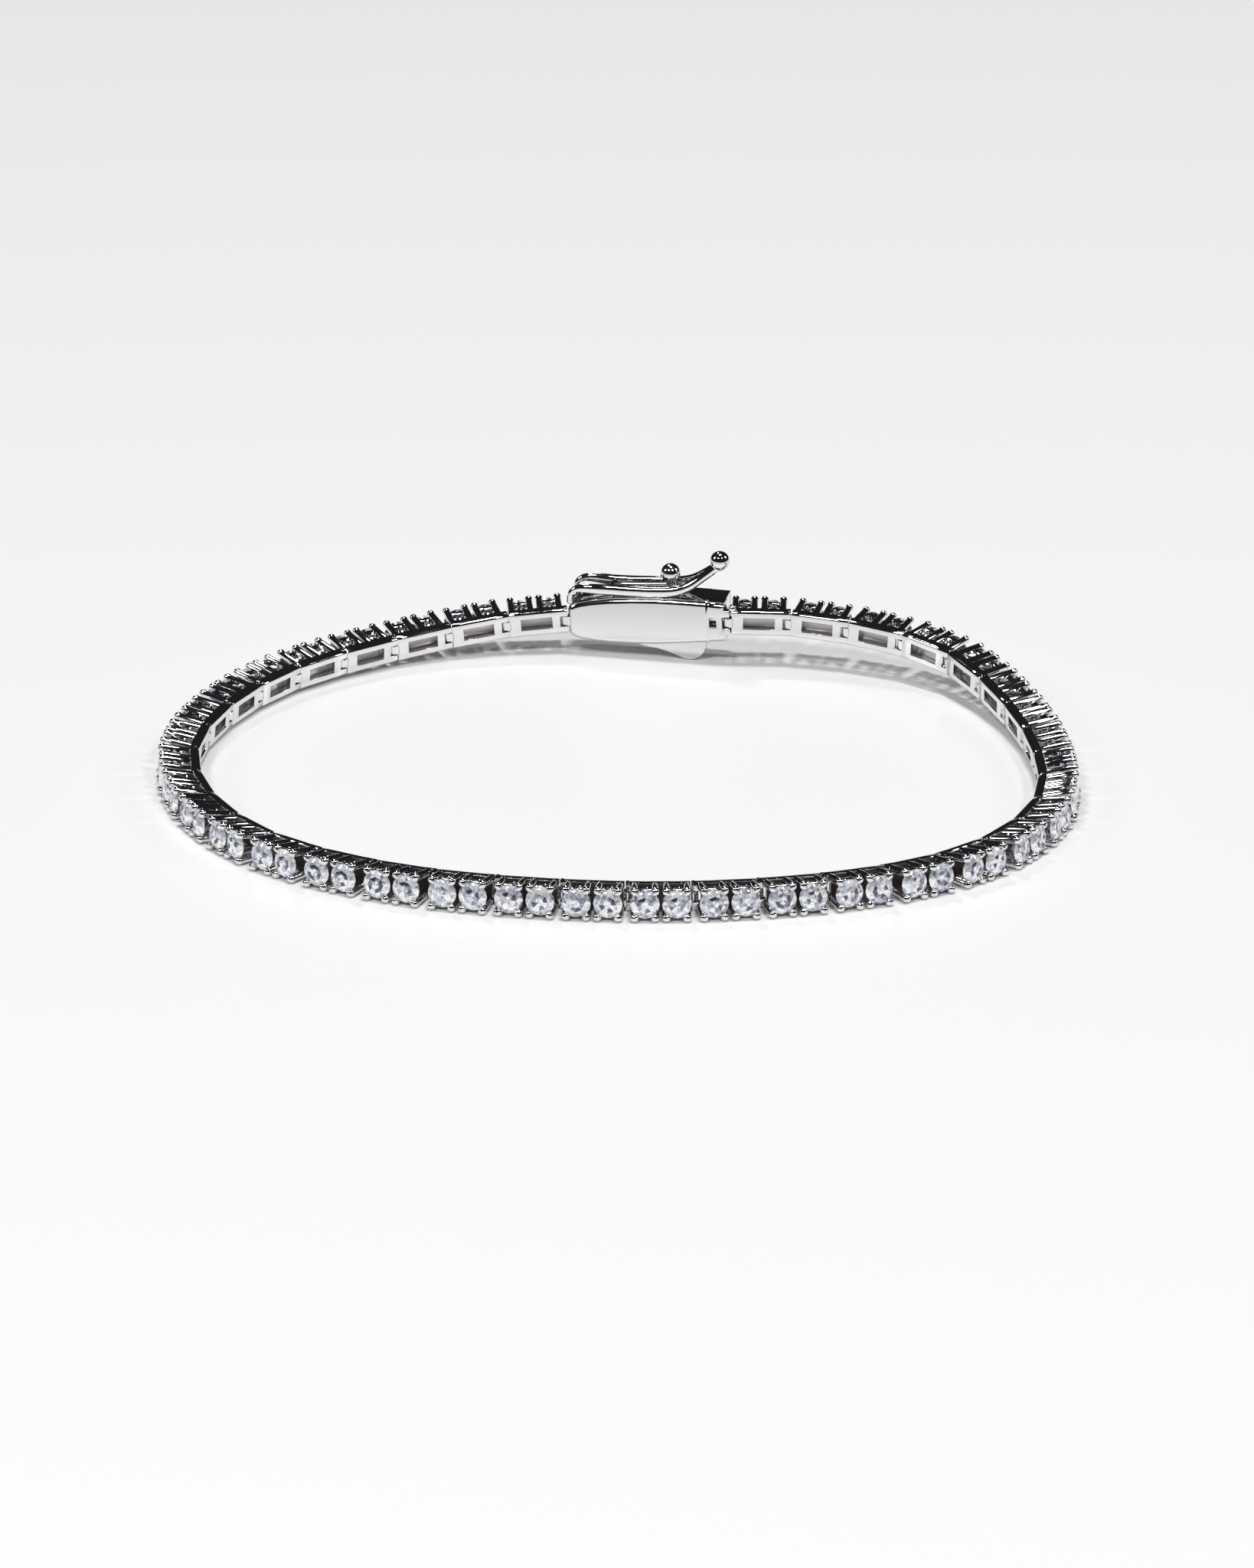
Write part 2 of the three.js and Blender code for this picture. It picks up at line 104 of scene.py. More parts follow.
@dataclass(frozen=True)
class MetalFinish:
    """Polished white plating, with the faint waviness of a hand-held buff; the sheets behind the
    link's window use it with colours of painted shade.

    The waviness is a bump of two noise sizes on object coordinates, in metres.
    """

    name: str
    colour: tuple[float, float, float]
    gloss: float
    haze: float
    wave_scale: float
    wave_depth: float

    def material(self) -> bpy.types.Material:
        """Builds the node material.

        Returns:
            The finished material.
        """
        made = bpy.data.materials.new(self.name)
        made.use_nodes = True
        nodes, links = made.node_tree.nodes, made.node_tree.links
        shader = nodes["Principled BSDF"]
        shader.inputs["Base Color"].default_value = (*self.colour, 1.0)
        shader.inputs["Metallic"].default_value = 1.0
        where = nodes.new("ShaderNodeTexCoord")
        wave = nodes.new("ShaderNodeTexNoise")
        wave.inputs["Scale"].default_value = self.wave_scale
        wave.inputs["Detail"].default_value = 2.0
        links.new(where.outputs["Object"], wave.inputs["Vector"])
        gloss = nodes.new("ShaderNodeMapRange")
        gloss.inputs["From Min"].default_value = NOISE_LOW
        gloss.inputs["From Max"].default_value = NOISE_HIGH
        gloss.inputs["To Min"].default_value = self.gloss
        gloss.inputs["To Max"].default_value = self.haze
        links.new(wave.outputs["Fac"], gloss.inputs["Value"])
        links.new(gloss.outputs["Result"], shader.inputs["Roughness"])
        bump = nodes.new("ShaderNodeBump")
        bump.inputs["Strength"].default_value = 1.0
        bump.inputs["Distance"].default_value = self.wave_depth
        links.new(wave.outputs["Fac"], bump.inputs["Height"])
        links.new(bump.outputs["Normal"], shader.inputs["Normal"])
        return made


@dataclass(frozen=True)
class StoneFinish:
    """Bright brilliant-cut stone, whose facets each throw back a painted light.

    The facets' own painted light values are read from the mesh, broken up by a painted sparkle
    noise, and looked up in a ramp of colours that paints reflections, glints and fire; the same
    colour also glows a little, as painted light.
    """

    name: str
    refraction: float
    mirror: float
    # Strength of the painted glow: the painted facet colour also shines as emission.
    painted_glow: float
    ramp: tuple[tuple[float, tuple[float, float, float]], ...]
    roughness: float = 0.04
    # Size and share of the noise that adds painted sparkle to the facets.
    sparkle_scale: float = 4800.0
    sparkle_share: float = 0.5

    def material(self) -> bpy.types.Material:
        """Builds the node material.

        Returns:
            The finished material.
        """
        made = bpy.data.materials.new(self.name)
        made.use_nodes = True
        nodes, links = made.node_tree.nodes, made.node_tree.links
        shader = nodes["Principled BSDF"]
        shader.inputs["Roughness"].default_value = self.roughness
        shader.inputs["IOR"].default_value = self.refraction
        shader.inputs["Metallic"].default_value = self.mirror
        facet = nodes.new("ShaderNodeAttribute")
        facet.attribute_name = FACET
        where = nodes.new("ShaderNodeTexCoord")
        # Noise that breaks up the painted facet light into painted sparkle.
        sparkle_noise = nodes.new("ShaderNodeTexNoise")
        sparkle_noise.inputs["Scale"].default_value = self.sparkle_scale
        sparkle_noise.inputs["Detail"].default_value = 1.0
        links.new(where.outputs["Object"], sparkle_noise.inputs["Vector"])
        mixed = nodes.new("ShaderNodeMath")
        mixed.operation = "MULTIPLY_ADD"
        mixed.inputs[1].default_value = self.sparkle_share
        links.new(sparkle_noise.outputs["Fac"], mixed.inputs[0])
        links.new(facet.outputs["Fac"], mixed.inputs[2])
        # Ramp that turns the painted facet light into painted reflections, glints and fire.
        shades = nodes.new("ShaderNodeValToRGB")
        shades.color_ramp.interpolation = "CONSTANT"
        stops = shades.color_ramp.elements
        while len(stops) < len(self.ramp):
            stops.new(1.0)
        for stop, (at, colour) in zip(stops, self.ramp):
            stop.position = at
            stop.color = (*colour, 1.0)
        links.new(mixed.outputs["Value"], shades.inputs["Fac"])
        links.new(shades.outputs["Color"], shader.inputs["Base Color"])
        # The painted colour is also emitted, as a painted glow.
        links.new(shades.outputs["Color"], shader.inputs["Emission Color"])
        shader.inputs["Emission Strength"].default_value = self.painted_glow
        return made


class Blank:
    """A piece in the making, in millimetres, put together from worked shapes."""

    def __init__(self) -> None:
        """Starts with an empty mesh."""
        self.bm = bmesh.new()
        self.lights: list[float] = []

    def take(
        self,
        shape: bmesh.types.BMesh,
        place: Matrix | None = None,
        slot: Slot = Slot.METAL,
        lights: list[float] | None = None,
    ) -> None:
        """Adds a worked shape and frees it.

        Args:
            shape: The shape to add.
            place: Where it goes in the piece's frame.
            slot: The finish of its faces.
            lights: The painted light of each face, for a cut stone; other shapes are shaded
                smooth.
        """
        smooth = lights is None
        self.lights.extend(lights or [0.5] * len(shape.faces))
        for face in shape.faces:
            face.material_index = slot.value
            face.smooth = smooth
        bmesh.ops.recalc_face_normals(shape, faces=shape.faces[:])
        if place is not None:
            bmesh.ops.transform(shape, matrix=place, verts=shape.verts[:])
        mesh = bpy.data.meshes.new("shape")
        shape.to_mesh(mesh)
        shape.free()
        self.bm.from_mesh(mesh)
        bpy.data.meshes.remove(mesh)

    def mesh(self, name: str, place: Matrix) -> bpy.types.Mesh:
        """Sets the piece in its place in the row frame, in metres.

        Args:
            name: The mesh's name.
            place: The piece's place in millimetres.

        Returns:
            The mesh, with its edges sharp where its faces meet at an angle.
        """
        made = bpy.data.meshes.new(name)
        whole = self.bm.copy()
        bmesh.ops.transform(whole, matrix=Matrix.Scale(MM, 4) @ place, verts=whole.verts[:])
        whole.to_mesh(made)
        whole.free()
        # The stone facets' painted light, spread at random and held to its limits, goes on each
        # face.
        draw = random.Random(name)
        facets = made.attributes.new(FACET, "FLOAT", "FACE")
        spread, shift = FACET_SPREAD, FACET_SHIFT
        values = [light + draw.uniform(-spread, spread) - shift for light in self.lights]
        held = [min(FACET_HIGH, max(FACET_LOW, value)) for value in values]
        facets.data.foreach_set("value", held)
        made.set_sharp_from_angle(angle=SHARP)
        return made


def moved(x: float = 0.0, y: float = 0.0, z: float = 0.0) -> Matrix:
    """A shift by x, y and z."""
    return Matrix.Translation((x, y, z))


def lathe(profile: Profile, steps: int) -> bmesh.types.BMesh:
    """Spins a profile round the z axis.

    Args:
        profile: Radius and height of each point.
        steps: Number of faces round the axis.

    Returns:
        The closed shape.
    """
    bm = bmesh.new()
    points = [bm.verts.new((radius, 0.0, height)) for radius, height in profile]
    edges = [bm.edges.new(pair) for pair in zip(points, points[1:])]
    bmesh.ops.spin(
        bm,
        geom=points + edges,
        cent=(0, 0, 0),
        axis=(0, 0, 1),
        angle=2 * math.pi,
        steps=steps,
        use_merge=True,
    )
    bmesh.ops.remove_doubles(bm, verts=bm.verts[:], dist=SAME_POINT)
    return bm


def round_bar(radius: float, half: float, steps: int, ease: float = 0.0) -> bmesh.types.BMesh:
    """A round bar about the z axis.

    Args:
        radius: Its radius.
        half: Half its length.
        steps: Number of faces round it.
        ease: How much the corners of its ends are cut off.

    Returns:
        The bar.
    """
    low = [(radius - ease, -half), (radius, ease - half)] if ease else [(radius, -half)]
    high = [(reach, -height) for reach, height in reversed(low)]
    return lathe([(0.0, -half), *low, *high, (0.0, half)], steps)


def ring(radius: float, wire: float, steps: int, sides: int) -> bmesh.types.BMesh:
    """A ring of round wire about the z axis.

    Args:
        radius: Radius of the wire's own line.
        wire: Radius of the wire.
        steps: Number of faces round the ring.
        sides: Number of faces round the wire.

    Returns:
        The ring.
    """
    bm = bmesh.new()
    section = bmesh.ops.create_circle(
        bm,
        segments=sides,
        radius=wire,
        matrix=moved(x=radius) @ Matrix.Rotation(math.pi / 2, 4, "X"),
    )
    bmesh.ops.spin(
        bm,
        geom=section["verts"] + bm.edges[:],
        cent=(0, 0, 0),
        axis=(0, 0, 1),
        angle=2 * math.pi,
        steps=steps,
        use_merge=True,
    )
    bmesh.ops.remove_doubles(bm, verts=bm.verts[:], dist=SAME_POINT)
    return bm


def ball(radius: float, steps: int, rings: int) -> bmesh.types.BMesh:
    """A sphere.

    Args:
        radius: Its radius.
        steps: Faces round its equator.
        rings: Faces from pole to pole.

    Returns:
        The sphere.
    """
    bm = bmesh.new()
    bmesh.ops.create_uvsphere(bm, u_segments=steps, v_segments=rings, radius=radius)
    return bm


def block(low: Vector, high: Vector) -> bmesh.types.BMesh:
    """A block between two corners.

    Args:
        low: The corner with the least x, y and z.
        high: The corner opposite.

    Returns:
        The block.
    """
    bm = bmesh.new()
    size = high - low
    middle = moved(*((low + high) / 2))
    bmesh.ops.create_cube(bm, size=1.0, matrix=middle @ Matrix.Diagonal((*size, 1.0)))
    return bm


def slab(outline: Profile, low: float, high: float) -> bmesh.types.BMesh:
    """A slab on an outline in x and z, between two heights along y.

    Args:
        outline: The outline's points, x and z.
        low: Where it starts along y.
        high: Where it ends along y.

    Returns:
        The slab.
    """
    bm = bmesh.new()
    face = bm.faces.new([bm.verts.new((x, low, z)) for x, z in outline])
    grown = bmesh.ops.extrude_face_region(bm, geom=[face])
    rim = [item for item in grown["geom"] if isinstance(item, bmesh.types.BMVert)]
    bmesh.ops.translate(bm, verts=rim, vec=(0.0, high - low, 0.0))
    bmesh.ops.recalc_face_normals(bm, faces=bm.faces[:])
    return bm


def rounded(
    bm: bmesh.types.BMesh,
    width: float,
    segments: int,
    wanted: EdgeTest | None = None,
    least: float = 30.0,
) -> None:
    """Bevels the sharp edges that a test picks.

    Args:
        bm: The shape.
        width: The bevel's width.
        segments: Faces across the bevel.
        wanted: Takes an edge's two ends and says whether it is bevelled; all if left out.
        least: The least angle, in degrees, of an edge that counts as sharp.
    """
    sharp = [e for e in bm.edges if e.is_manifold and math.degrees(e.calc_face_angle(0)) > least]
    picked = [e for e in sharp if wanted is None or wanted(e.verts[0].co, e.verts[1].co)]
    bmesh.ops.bevel(
        bm,
        geom=picked,
        offset=width,
        offset_type="OFFSET",
        affect="EDGES",
        segments=segments,
        profile=0.5,
        material=-1,
        clamp_overlap=True,
    )


def pierced(bm: bmesh.types.BMesh, x: tuple[float, float], z: tuple[float, float]) -> None:
    """Cuts a rectangular window along y through a slab.

    Args:
        bm: The slab.
        x: The window's ends along x.
        z: The window's ends along z.
    """
    for axis, places in ((Vector((1, 0, 0)), x), (Vector((0, 0, 1)), z)):
        for place in places:
            bmesh.ops.bisect_plane(
                bm,
                geom=bm.verts[:] + bm.edges[:] + bm.faces[:],
                plane_co=axis * place,
                plane_no=axis,
            )
    inside = []
    for face in bm.faces:
        middle = face.calc_center_median()
        across = x[0] < middle.x < x[1] and z[0] < middle.z < z[1]
        if across and abs(face.normal.y) > 0.5:
            inside.append(face)
    bmesh.ops.delete(bm, geom=inside, context="FACES")
    bmesh.ops.bridge_loops(bm, edges=[e for e in bm.edges if e.is_boundary])
    bmesh.ops.recalc_face_normals(bm, faces=bm.faces[:])


@dataclass
class Route:
    """The closed line that the row follows, in the same numbers as the solid's route."""

    points: list[tuple[float, float, float]] = field(
        default_factory=lambda: [
            (10.2, 21.4, 1.0),
            (14.7, 21.2, 0.98),
            (19.0, 20.0, 0.9),
            (23.0, 18.1, 0.78),
            (26.4, 15.1, 0.62),
            (30.2, 7.1, 0.2),
            (31.9, -1.6, 0.0),
            (31.4, -10.5, 0.0),
            (27.2, -18.3, 0.0),
            (19.9, -23.4, 0.0),
            (6.9, -26.3, 0.0),
            (-6.4, -25.2, 0.0),
            (-14.9, -22.4, 0.0),
            (-22.2, -17.3, 0.0),
            (-26.9, -9.7, 0.0),
            (-28.5, -1.0, 0.04),
            (-26.5, 7.7, 0.08),
            (-21.8, 15.3, 0.14),
            (-14.7, 20.7, 0.28),
            (-10.6, 22.5, 0.5),
            (-6.3, 23.6, 0.79),
            (-1.9, 23.9, 1.0),
        ]
    )
    links: int = 37
    pitch: float = LINK_PITCH
    clasp: float = CLASP_LENGTH
    foot_rise: float = 2.117076
    foot_along: float = 9.048
    lean: float = 0.09906
    slope: float = math.radians(3.4)
    longest_share: float = 0.06
    least_scale: float = 0.3
    most_scale: float = 3.0
    middle: Vector = field(default_factory=lambda: Vector((1.773203, -1.192851, -0.988396)))

    def ends(self) -> tuple[float, float]:
        """Finds how high the slanting clasp holds its hinges.

        Returns:
            The rise of the left hinge and of the right one.
        """
        run = math.tan(self.slope)
        left = self.foot_rise - run * self.foot_along
        return left, self.foot_rise + run * (self.clasp - self.foot_along)

    def at(self, nodes: list[Vector], share: float) -> Vector:
        """A point on the closed centripetal curve.

        Args:
            nodes: The points that the curve passes.
            share: How far round it lies, from 0 to 1.

        Returns:
            The point.
        """
        count = len(nodes)
        start = int(math.floor(share % 1 * count))
        weight = share % 1 * count - start
        p = [nodes[(start + k) % count] for k in (-1, 0, 1, 2)]
        d = [max((p[k + 1] - p[k]).length_squared ** 0.25, 1e-4) for k in range(3)]
        out = (p[1] - p[0]) / d[0] - (p[2] - p[0]) / (d[0] + d[1]) + (p[2] - p[1]) / d[1]
        back = (p[2] - p[1]) / d[1] - (p[3] - p[1]) / (d[1] + d[2]) + (p[3] - p[2]) / d[2]
        out, back = out * d[1], back * d[1]
        square = (p[2] - p[1]) * 3 - out * 2 - back
        cube = (p[1] - p[2]) * 2 + out + back
        point = p[1] + out * weight + square * weight**2 + cube * weight**3
        point.z = max(point.z, 0.0)
        return point

    def walk(self, scale: float) -> tuple[list[Vector], float]:
        """Steps round the curve, one link at a time.

        Args:
            scale: The size of the curve.

        Returns:
            The hinges and the gap left between the last and the first.
        """
        left, right = self.ends()
        nodes = [
            Vector((x * scale, y * scale, share * (right if x > 0 else left)))
            for x, y, share in self.points
        ]
        hinges, share = [self.at(nodes, 0.0)], 0.0
        for _ in range(self.links):
            low, high = share, share + self.longest_share
            for _ in range(LINK_HALVINGS):
                half = (low + high) / 2
                near = (self.at(nodes, half) - hinges[-1]).length < self.pitch
                low, high = (half, high) if near else (low, half)
            share = (low + high) / 2
            hinges.append(self.at(nodes, share))
        gap = (hinges[-1] - hinges[0]).length
        return hinges, gap if share < 1 else -gap

    def places(self) -> list[Matrix]:
        """Scales the curve until the row closes, and places every link on it.

        Returns:
            The place of each link, and of the clasp at the end, in millimetres.
        """
        low, high = self.least_scale, self.most_scale
        for _ in range(LOOP_HALVINGS):
            half = (low + high) / 2
            low, high = (half, high) if self.walk(half)[1] < self.clasp else (low, half)
        hinges = self.walk((low + high) / 2)[0]
        placed = []
        for start, end in zip(hinges, hinges[1:]):
            raised = (start.z + end.z) / 2 / self.foot_rise
            placed.append(self.place(start, end, self.lean * min(1.0, max(0.0, 1 - raised))))
        return [*placed, self.place(hinges[-1], hinges[0], 0.0)]

    def place(self, start: Vector, end: Vector, lean: float) -> Matrix:
        """A frame at start, its x towards end and its outer side raised.

        Args:
            start: The first hinge.
            end: The second hinge.
            lean: How far the outer side is raised, as an angle.

        Returns:
            The frame's matrix.
        """
        along = (end - start).normalized()
        level = UP.cross(along).normalized()
        out = Matrix.Rotation(lean, 3, along) @ level
        turned = Matrix((along, out, along.cross(out))).transposed().to_4x4()
        return moved(*(start - self.middle)) @ turned


@dataclass
class Brilliant:
    """A round brilliant with its table, star, kite, girdle and pavilion facets."""

    width: float = 2.0
    table: float = 1.16
    crown: float = 0.3
    pavilion: float = 0.86
    girdle: float = 0.03
    star: float = 0.8
    lower: float = 0.24
    table_rim: float = 0.3
    heart: float = 0.25
    flat: float = math.radians(0.6)
    # Painted light: the brightness painted on the heart, star, crown and pavilion facets.
    heart_light: float = 0.5
    star_lights: tuple[float, float] = (0.1, 0.34)
    crown_light: float = 0.52
    pavilion_light: float = 0.22

    def shape(self) -> bmesh.types.BMesh:
        """Cuts the stone, its girdle at z = 0 and its table up.

        Returns:
            The stone.
        """
        radius, eighth = self.width / 2, math.pi / 4
        half = math.cos(eighth / 2)
        fall = self.crown / (1 - self.table / self.width)
        rings = [
            (8, self.table / 2, self.crown, 0.0),
            (8, self.star * radius, fall * (1 - self.star * half), eighth / 2),
            (16, radius, self.girdle / 2, 0.0),
            (16, radius, -self.girdle / 2, 0.0),
            (8, self.lower * radius, -self.pavilion * (1 - self.lower * half), eighth / 2),
        ]
        bm = bmesh.new()
        for count, reach, height, turn in rings:
            for k in range(count):
                angle = turn + 2 * math.pi * k / count
                bm.verts.new((reach * math.cos(angle), reach * math.sin(angle), height))
        bm.verts.new((0.0, 0.0, -self.pavilion))
        bmesh.ops.convex_hull(bm, input=bm.verts[:])
        bmesh.ops.dissolve_limit(
            bm, angle_limit=self.flat, verts=bm.verts[:], edges=bm.edges[:]
        )
        top = [face for face in bm.faces if face.calc_center_median().z > self.crown - 1e-4]
        bmesh.ops.inset_individual(bm, faces=top, thickness=self.table_rim)
        inner = [face for face in top if face.is_valid and len(face.verts) == 8]
        bmesh.ops.poke(bm, faces=inner)
        return bm

    def lights(self, bm: bmesh.types.BMesh) -> list[float]:
        """The painted light of each facet: a pale heart, a dark star round it and a bright crown,
        all painted.

        Args:
            bm: The cut stone.

        Returns:
            A value from 0 to 1 for each face.
        """
        found = []
        for face in bm.faces:
            middle = face.calc_center_median()
            reach = math.hypot(middle.x, middle.y)
            sector = int((math.atan2(middle.y, middle.x) / math.pi + 1) * 8)
            if middle.z > self.crown - 1e-3:
                star = self.star_lights[0 if sector % 4 < 2 else 1]
                found.append(self.heart_light if reach < self.heart else star)
            else:
                found.append(self.crown_light if middle.z > 0 else self.pavilion_light)
        return found


@dataclass
class Link:
    """One link: a pierced plate with its hinge, and two stones in prongs and galleries.

    Two thin sheets close the plate's front, their colours painted shade: a matt one, darkened as
    painted shade, seen through the window from behind, and a dark one, standing for the shade
    seen between the stones from the front.
    """

    pitch: float = LINK_PITCH
    stone_pitch: float = 2.16
    stone: Brilliant = field(default_factory=Brilliant)
    plate_start: float = 0.2
    plate_end: float = 4.6
    plate_half: float = 0.95
    plate_back: float = HINGE_BACK
    plate_front: float = 0.34
    flare: float = 0.09938
    rim_bevel: float = 0.2
    edge_bevel: float = 0.035
    slot_start: float = 4.0
    slot_half: float = 0.4
    window_length: float = 2.35
    window_height: float = 0.88
    prong_along: float = 0.6995
    prong_up: float = 0.96
    prong_radius: float = 0.285
    prong_foot: float = 0.2
    bead: float = 0.31
    claw_radius: float = 0.21
    claw_reach: float = 0.9
    face_half: float = 1.245
    # Thickness and extent of the two sheets whose colours are painted shade.
    shade_sheet: float = 0.05
    shade_sheet_start: float = 0.24
    shade_sheet_end: float = 3.97
    shade_sheet_half: float = 0.92
    face: float = 2.62
    grip: float = 0.38
    rail_out: float = 1.75
    rail_half: float = 0.2
    rail_wire: float = 0.08
    rail_bevel: float = 0.05
    eye_radius: float = 0.36
    arm_end: float = 0.3
    pin_half: float = 0.5
    head_up: float = 0.94
    head: Profile = field(
        default_factory=lambda: [(0.0, 0.0), (0.14, 0.0), (0.13, 0.07), (0.0, 0.09)]
    )

    def plate(self) -> bmesh.types.BMesh:
        """The back plate with its ears, window and softened edges.

        Returns:
            The plate.
        """
        half, slot = self.plate_half, self.slot_half
        outline = [
            (self.plate_start, -half),
            (self.plate_end, -half),
            (self.plate_end, -slot),
            (self.slot_start, -slot),
            (self.slot_start, slot),
            (self.plate_end, slot),
            (self.plate_end, half),
            (self.plate_start, half),
        ]
        bm = slab(outline, self.plate_back, self.plate_front)
        middle = self.pitch / 2
        reach, rise = self.window_length / 2, self.window_height / 2
        pierced(bm, (middle - reach, middle + reach), (-rise, rise))
        spread = self.flare * (self.plate_front - self.plate_back)
        for vert in bm.verts:
            if vert.co.y > self.plate_front - ON_FACE and abs(vert.co.z) > half - ON_FACE:
                vert.co.z += math.copysign(spread, vert.co.z)

        def rim(a: Vector, b: Vector) -> bool:
            """Whether an edge runs along the plate's top or bottom, on the back."""
            back = max(a.y, b.y) < self.plate_back + ON_FACE
            return back and min(abs(a.z), abs(b.z)) > half - ON_FACE

        rounded(bm, self.rim_bevel, 5, rim, CORNER)
        rounded(bm, self.edge_bevel, 2, None, CORNER)
        return bm

    def height_at(self, y: float) -> float:
        """How far from the middle a prong's line lies, at a distance outwards."""
        return self.prong_up - (self.face - y) * self.flare

    def prong(self) -> bmesh.types.BMesh:
        """One wire with its rounded tip, from its foot up along z.

        Returns:
            The wire.
        """
        r = self.prong_radius
        neck = self.face - r
        tip = [
            (r * math.cos(k * math.pi / 8), neck + r * math.sin(k * math.pi / 8))
            for k in range(4)
        ]
        profile = [(0.0, self.prong_foot), (r, self.prong_foot), *tip, (0.0, self.face)]
        return lathe(profile, steps=14)

    def claw(self) -> bmesh.types.BMesh:
        """The bead of a prong's tip that is pressed over the stone's edge."""
        return ball(self.claw_radius, steps=12, rings=8)

    def blank(self) -> Blank:
        """Puts one link together in its own frame.

        Returns:
            The link.
        """
        piece = Blank()
        piece.take(self.plate())
        piece.take(round_bar(HINGE_RADIUS, HINGE_HALF, 20, HINGE_EASE))
        arm = block(
            Vector((0.0, self.plate_back, -HINGE_HALF)),
            Vector((self.arm_end, self.plate_front, HINGE_HALF)),
        )
        piece.take(arm)
        piece.take(lathe(self.head, steps=14), moved(x=self.pitch, z=self.head_up))
        piece.take(round_bar(PIN_RADIUS, self.pin_half, 12), moved(x=self.pitch))
        # The two sheets behind the plate's window, their colours painted shade.
        for layer, slot in enumerate((Slot.RECESS_SHADE, Slot.GAP_SHADE)):
            at = self.plate_front + layer * self.shade_sheet
            sheet = block(
                Vector((self.shade_sheet_start, at, -self.shade_sheet_half)),
                Vector((self.shade_sheet_end, at + self.shade_sheet, self.shade_sheet_half)),
            )
            piece.take(sheet, slot=slot)
        for k in (-0.5, 0.5):
            self.setting(piece, self.pitch / 2 + k * self.stone_pitch)
        return piece

    def setting(self, piece: Blank, x: float) -> None:
        """Adds a stone, its four prongs and the galleries that join them.

        Args:
            piece: The link in the making.
            x: The stone's place along the link.
        """
        girdle = self.face - self.grip
        cut = self.stone.shape()
        facets = self.stone.lights(cut)
        piece.take(cut, moved(x, girdle, 0.0) @ TURN_TO_OUT, Slot.STONE, facets)
        for side in (-1, 1):
            for edge in (-1, 1):
                foot = Vector((x + side * self.prong_along, 0.0, edge * self.height_at(0.0)))
                slant = Matrix.Rotation(edge * math.atan(self.flare), 4, "X")
                piece.take(self.prong(), moved(*foot) @ slant @ TURN_TO_OUT)
                at = Vector((foot.x, 0.0, edge * self.prong_up))
                bead = moved(foot.x, self.face - self.bead, edge * (self.face_half - self.bead))
                piece.take(ball(self.bead, steps=14, rings=10), bead)
                inward = Vector((x, 0.0, 0.0)).lerp(at, self.claw_reach)
                piece.take(self.claw(), moved(inward.x, self.face - self.claw_radius, inward.z))
        for edge in (-1, 1):
            z = edge * self.height_at(self.rail_out)
            reach, half, wire = self.prong_along, self.rail_half, self.rail_wire
            rail = block(Vector((-reach, -half, -wire)), Vector((reach, half, wire)))
            rounded(rail, self.rail_bevel, 3)
            slant = Matrix.Rotation(edge * math.atan(self.flare), 4, "X")
            piece.take(rail, moved(x, self.rail_out, z) @ slant)
            low = self.rail_out - self.eye_radius - half
            eye = ring(self.eye_radius, wire, steps=24, sides=8)
            piece.take(eye, moved(x, low, edge * self.height_at(low)) @ slant)


